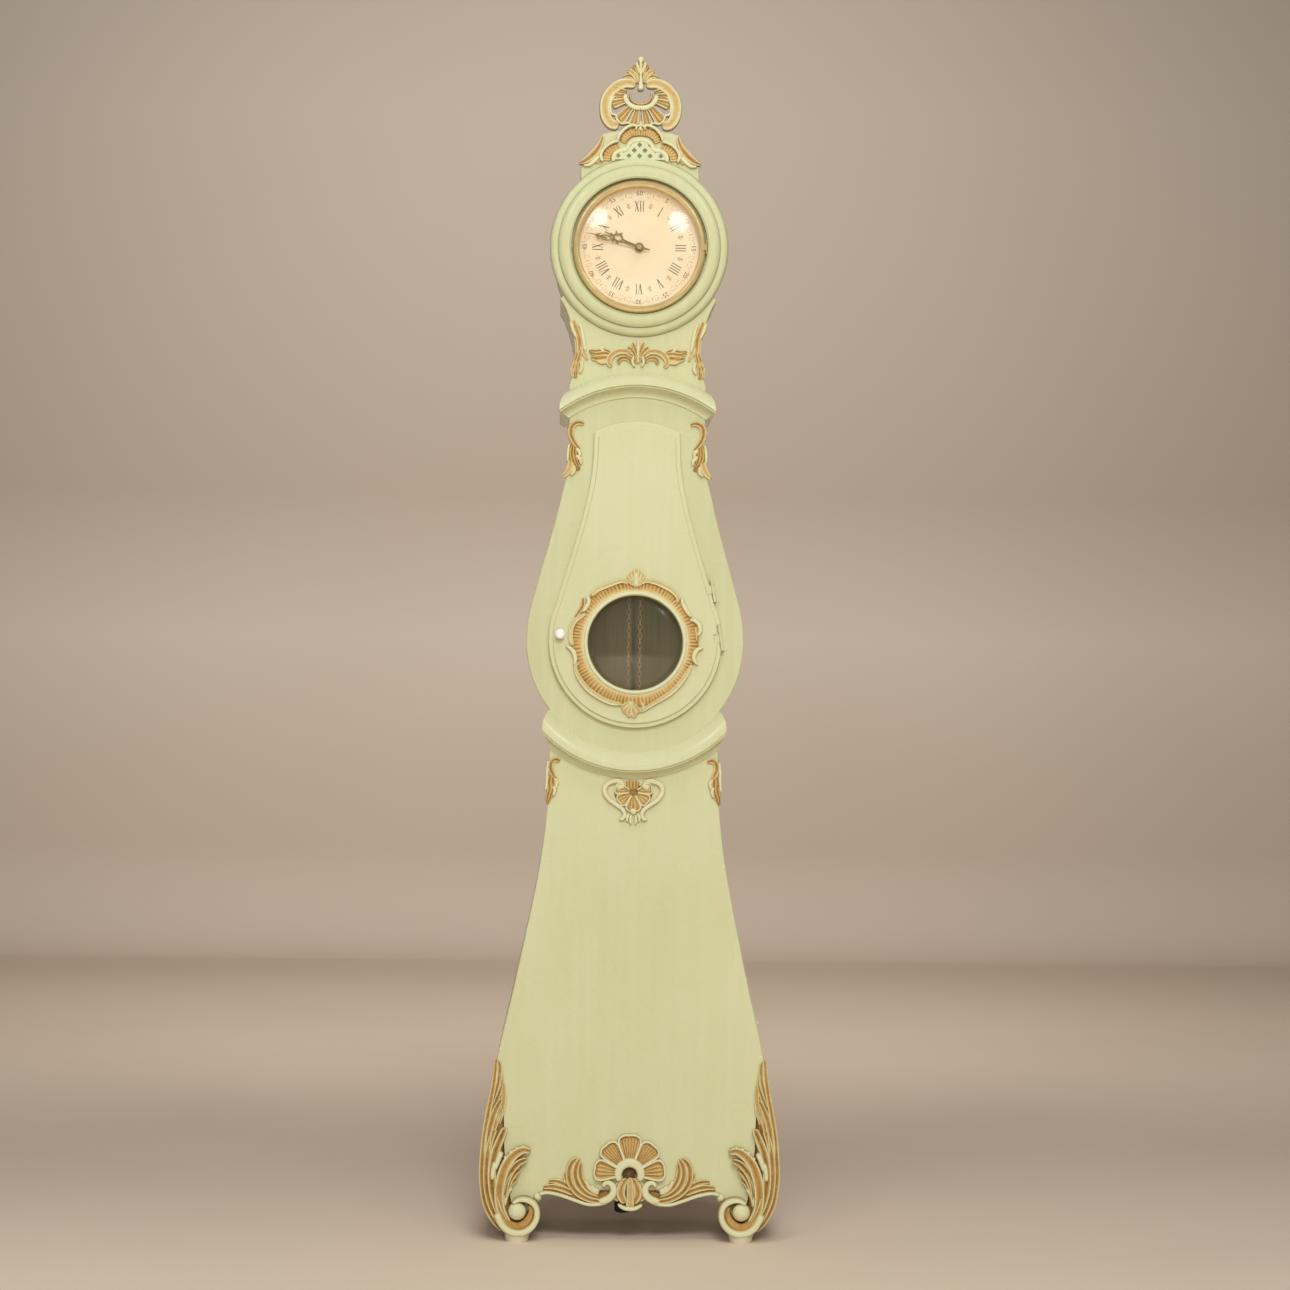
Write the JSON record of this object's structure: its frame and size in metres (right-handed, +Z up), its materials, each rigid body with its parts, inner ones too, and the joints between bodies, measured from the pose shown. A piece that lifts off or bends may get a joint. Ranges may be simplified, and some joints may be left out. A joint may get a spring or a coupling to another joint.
{
  "type": "mora clock",
  "caption": "Painted wooden floor clock: round dial hood, waisted trunk with a round glazed window in its door, bell base on scrolled feet, carved rococo ornament, weight-driven movement",
  "frame": {"origin": "on the floor, under the middle of the case", "axes": "+Z up, -Y is the front with the dial, +X to the right seen from the front"},
  "size_m": [0.532, 0.274, 2.1],
  "materials": {
    "green_paint": "pale green oil paint on pine, semi-gloss, worn white at the edges",
    "gilt_carving": "carved wood, pale green on the ridges, ochre gold and brown glaze in the hollows",
    "raw_wood": "bare planed pine",
    "brass": "aged polished brass",
    "steel": "dark oiled steel",
    "cast_iron": "black cast iron",
    "porcelain": "white glazed porcelain, approximated as gloss plastic",
    "dial_enamel": "cream painted sheet with thin brown numerals",
    "glass": "clear domed clock glass"
  },
  "bodies": {
    "case": {"base_front_board": "green_paint", "base_side_left": "green_paint", "base_side_right": "green_paint", "trunk_front_board": "green_paint", "trunk_side_left": "green_paint", "trunk_side_right": "green_paint", "hood_front_board": "green_paint", "hood_side_left": "green_paint", "hood_side_right": "green_paint", "hood_top_board": "green_paint", "hood_ring_moulding": "green_paint", "lower_cornice_front": "green_paint", "lower_cornice_returns": "green_paint", "upper_cornice_front": "green_paint", "upper_cornice_returns": "green_paint", "door_hinge_case_leaves": "green_paint", "front_foot_pads": "green_paint", "crest_carving": "gilt_carving", "cartouche_carving": "gilt_carving", "bracket_leaves": "gilt_carving", "neck_carvings": "gilt_carving", "trunk_side_carvings": "gilt_carving", "base_top_carvings": "gilt_carving", "foot_carvings": "gilt_carving", "apron_carving": "gilt_carving", "case_back_board": "raw_wood", "hood_back_board": "raw_wood", "rear_feet_and_corner_blocks": "raw_wood", "seat_board": "raw_wood", "bezel_hinge": "brass", "movement_plates": "brass", "movement_pillars": "brass", "chain_weight_strand": "brass", "chain_free_strand": "brass", "dial_plate": "dial_enamel"},
    "door": {"door_panel": "green_paint", "door_glass": "glass", "window_carving": "gilt_carving", "glass_retaining_ring": "raw_wood", "door_hinge_door_leaves": "green_paint"},
    "door_latch": {"door_knob": "porcelain", "knob_spindle": "steel"},
    "bezel": {"bezel_ring": "brass", "bezel_glass": "glass"},
    "minute_hand_group": {"minute_hand": "brass", "cannon_pinion": "brass", "hand_nut": "brass"},
    "hour_hand_group": {"hour_hand": "brass", "hour_wheel": "brass"},
    "minute_wheel_body": {"minute_wheel": "brass"},
    "escape_wheel_body": {"escape_wheel": "brass"},
    "third_wheel_body": {"third_wheel": "brass"},
    "centre_wheel_body": {"centre_wheel": "brass"},
    "great_wheel_body": {"great_wheel": "brass"},
    "sprocket_body": {"chain_sprocket": "steel"},
    "pendulum": {"pendulum_rod": "steel", "pendulum_bob": "cast_iron", "rating_nut": "brass"},
    "anchor": {"pallet_anchor": "steel"},
    "weight": {"driving_weight": "cast_iron"}
  },
  "joints": [
    {"name": "door_hinge", "type": "hinge", "parent": "case", "child": "door", "pos_m": [0.1516, -0.1154, 1.0695], "axis": [-0.1651, 0, 0.9863], "range_deg": [0, 100]},
    {"name": "door_knob_turn", "type": "hinge", "parent": "door", "child": "door_latch", "pos_m": [-0.1335, -0.12, 1.073], "axis": [0, 1, 0], "range_deg": [0, 90]},
    {"name": "bezel_hinge_turn", "type": "hinge", "parent": "case", "child": "bezel", "pos_m": [0.1194, -0.1206, 1.7635], "axis": [0, 0, 1], "range_deg": [0, 110]},
    {"name": "minute_hand_turn", "type": "hinge", "parent": "case", "child": "minute_hand_group", "pos_m": [0, -0.05, 1.7635], "axis": [0, 1, 0], "continuous": true},
    {"name": "hour_hand_turn", "type": "hinge", "parent": "case", "child": "hour_hand_group", "pos_m": [0, -0.05, 1.7635], "axis": [0, 1, 0], "continuous": true},
    {"name": "minute_wheel_turn", "type": "hinge", "parent": "case", "child": "minute_wheel_body", "pos_m": [0.024, -0.05, 1.7635], "axis": [0, 1, 0], "continuous": true},
    {"name": "escape_wheel_turn", "type": "hinge", "parent": "case", "child": "escape_wheel_body", "pos_m": [0, -0.05, 1.8231], "axis": [0, 1, 0], "continuous": true},
    {"name": "third_wheel_turn", "type": "hinge", "parent": "case", "child": "third_wheel_body", "pos_m": [0, -0.05, 1.7959], "axis": [0, 1, 0], "continuous": true},
    {"name": "centre_wheel_turn", "type": "hinge", "parent": "case", "child": "centre_wheel_body", "pos_m": [0, -0.05, 1.7635], "axis": [0, 1, 0], "continuous": true},
    {"name": "great_wheel_turn", "type": "hinge", "parent": "case", "child": "great_wheel_body", "pos_m": [0, -0.05, 1.7235], "axis": [0, 1, 0], "continuous": true},
    {"name": "sprocket_turn", "type": "hinge", "parent": "case", "child": "sprocket_body", "pos_m": [0, -0.0454, 1.7235], "axis": [0, 1, 0], "range_deg": [0, 6885]},
    {"name": "pendulum_swing", "type": "hinge", "parent": "case", "child": "pendulum", "pos_m": [0, -0.005, 1.8486], "axis": [0, 1, 0], "range_deg": [-3, 3]},
    {"name": "anchor_rock", "type": "hinge", "parent": "case", "child": "anchor", "pos_m": [0, -0.03, 1.8486], "axis": [0, 1, 0], "range_deg": [-3, 3]},
    {"name": "weight_slide", "type": "slide", "parent": "case", "child": "weight", "axis": [0, 0, 1], "range_m": [0, 1.2], "deforming": ["chain_weight_strand"]}
  ],
  "couplings": [
    {"joint": "hour_hand_turn", "follows": "minute_hand_turn", "ratio": 0.083333},
    {"joint": "minute_wheel_turn", "follows": "minute_hand_turn", "ratio": -0.33333},
    {"joint": "third_wheel_turn", "follows": "escape_wheel_turn", "ratio": -0.13333},
    {"joint": "centre_wheel_turn", "follows": "escape_wheel_turn", "ratio": 0.016667},
    {"joint": "great_wheel_turn", "follows": "escape_wheel_turn", "ratio": -0.0018519},
    {"joint": "anchor_rock", "follows": "pendulum_swing", "ratio": 1},
    {"joint": "sprocket_turn", "follows": "weight_slide", "rad_per_m": 100}
  ]
}
